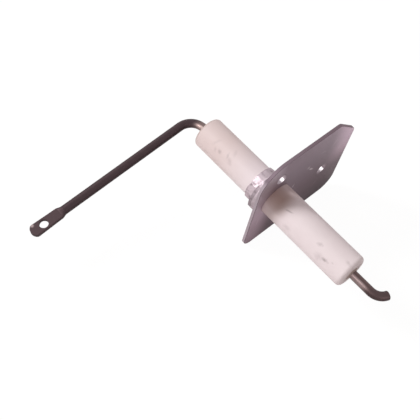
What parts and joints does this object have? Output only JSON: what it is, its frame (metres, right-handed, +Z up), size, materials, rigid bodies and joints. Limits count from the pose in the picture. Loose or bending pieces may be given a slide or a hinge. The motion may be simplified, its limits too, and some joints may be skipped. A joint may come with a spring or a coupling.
{
  "type": "ignition electrode",
  "caption": "Bent wire spark electrode in a ceramic insulator, with an aluminium ferrule, a bolt-on flange plate, a hooked spark tip and a flattened eye terminal.",
  "frame": {"origin": "where the insulator's axis meets the face of the flange plate that seats on the burner", "axes": "+X along the insulator to the spark tip, +Z up the plate, +Y to the plate's wide side, away from the terminal arm"},
  "size_m": [0.0956, 0.1063, 0.0439],
  "materials": {
    "electrode_wire": "dark oxidised heat-resistant alloy",
    "insulator_ceramic": "matt fired alumina",
    "plate_steel": "dull rolled sheet",
    "ferrule_aluminium": "bright, rough from swaging",
    "cement": "matt, soot-stained",
    "packing": "compressed ceramic fibre"
  },
  "bodies": {
    "root": {"electrode_rod": "electrode_wire", "insulator": "insulator_ceramic", "terminal_cement": "cement", "tip_cement": "cement", "flange_plate": "plate_steel", "ferrule": "ferrule_aluminium", "packing_sleeve": "packing"}
  },
  "joints": []
}
